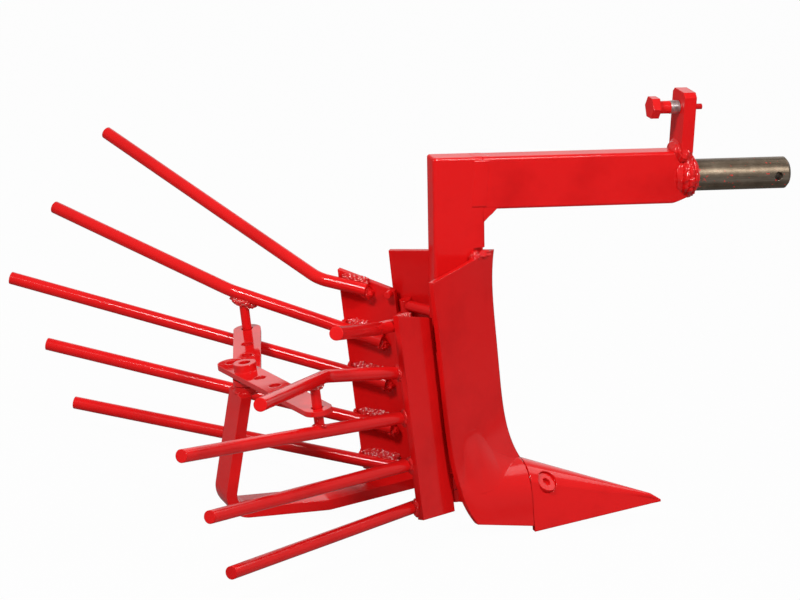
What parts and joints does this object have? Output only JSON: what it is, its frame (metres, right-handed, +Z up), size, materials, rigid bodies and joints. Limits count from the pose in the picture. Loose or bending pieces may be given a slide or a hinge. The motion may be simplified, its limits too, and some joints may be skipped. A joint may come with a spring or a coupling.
{
  "type": "potato lifting plough",
  "caption": "Walking-tractor plough with a pointed share, two short mouldboards and hinged rod grates that lift a potato row, sift the soil and are set by straps at a rear skid.",
  "frame": {"origin": "centre of the bounding box in plan, at the ground", "axes": "+X forward along the hitch pin's side, +Y to the left, +Z up, standing on the share's heels and the skid"},
  "size_m": [0.6638, 0.7186, 0.4249],
  "materials": {
    "red_paint": "gloss enamel over rough steel and weld",
    "bare_steel": "bare turned steel with brown tarnish"
  },
  "bodies": {
    "plough": {"leg": "red_paint", "arm": "red_paint", "hitch_pin": "bare_steel", "stop_lug": "red_paint", "stop_bolt": "red_paint", "mouldboard_left": "red_paint", "mouldboard_right": "red_paint", "share": "red_paint", "share_bolts": "red_paint", "frog": "red_paint", "skid": "red_paint", "skid_lug": "red_paint", "brace_left": "red_paint", "brace_right": "red_paint", "hinge_left": "red_paint", "hinge_right": "red_paint"},
    "grate_left": {"grate_plate_left": "red_paint", "tine_left_1": "red_paint", "tine_left_2": "red_paint", "tine_left_3": "red_paint", "tine_left_4": "red_paint", "tine_left_5": "red_paint", "strap_pin_left": "red_paint"},
    "grate_right": {"grate_plate_right": "red_paint", "tine_right_1": "red_paint", "tine_right_2": "red_paint", "tine_right_3": "red_paint", "tine_right_4": "red_paint", "tine_right_5": "red_paint", "strap_pin_right": "red_paint"},
    "strap_left": {"strap_left": "red_paint"},
    "strap_right": {"strap_right": "red_paint"}
  },
  "joints": [
    {"name": "grate_left_hinge", "type": "hinge", "parent": "plough", "child": "grate_left", "pos_m": [-0.01364, 0.0435, 0.18712], "axis": [-0.2586, 0, 0.966], "range_deg": [0, 12]},
    {"name": "grate_right_hinge", "type": "hinge", "parent": "plough", "child": "grate_right", "pos_m": [-0.01364, -0.0435, 0.18712], "axis": [0.2586, 0, -0.966], "range_deg": [-11, 10.5]},
    {"name": "strap_left_pivot", "type": "hinge", "parent": "grate_left", "child": "strap_left", "pos_m": [-0.13482, 0.13638, 0.1347], "axis": [-0.2586, 0, 0.966], "range_deg": [-8.4, 0]},
    {"name": "strap_right_pivot", "type": "hinge", "parent": "grate_right", "child": "strap_right", "pos_m": [-0.15755, -0.15523, 0.12861], "axis": [0.2586, 0, -0.966], "range_deg": [-4.3, 4.51]}
  ],
  "couplings": [
    {"joint": "strap_left_pivot", "follows": "grate_left_hinge", "ratio": -0.7},
    {"joint": "strap_right_pivot", "follows": "grate_right_hinge", "ratio": -0.41}
  ]
}
